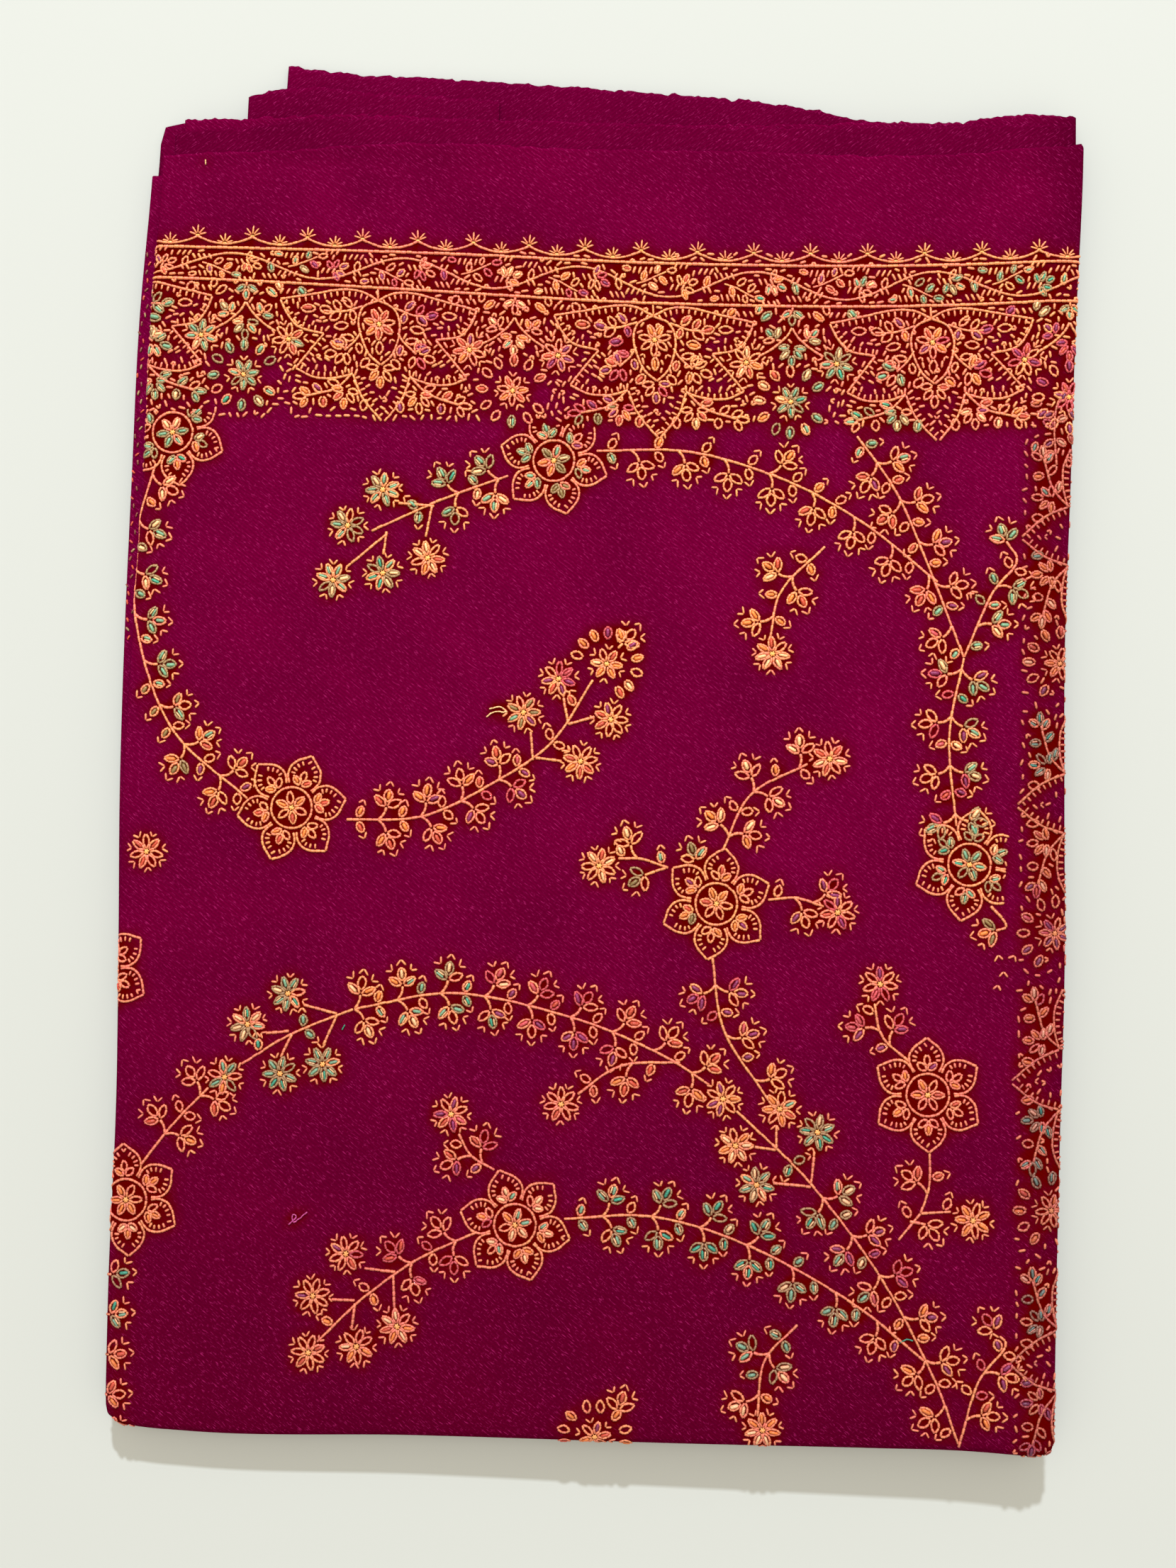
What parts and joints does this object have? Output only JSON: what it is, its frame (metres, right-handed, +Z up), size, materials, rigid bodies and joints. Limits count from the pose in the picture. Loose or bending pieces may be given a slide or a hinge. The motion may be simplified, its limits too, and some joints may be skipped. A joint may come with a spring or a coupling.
{
  "type": "folded embroidered pashmina scarf",
  "caption": "Wine-red twill scarf with sozni floral embroidery, folded into a flat rectangular pile and resting on a surface.",
  "frame": {"origin": "on the surface, under the middle of the folded pile's box", "axes": "+Z up, +X across the pile to the folded side border, +Y along it from the bottom fold to the cut end"},
  "size_m": [0.3624, 0.5275, 0.016],
  "materials": {
    "cloth": "soft brushed wool twill",
    "embroidery": "matte stranded thread"
  },
  "bodies": {
    "root": {"top_panel": "cloth", "left_fold": "cloth", "second_ply_end": "cloth", "third_ply_end": "cloth", "fourth_ply_end": "cloth", "fifth_ply_end": "cloth", "folded_core": "cloth"}
  },
  "joints": []
}
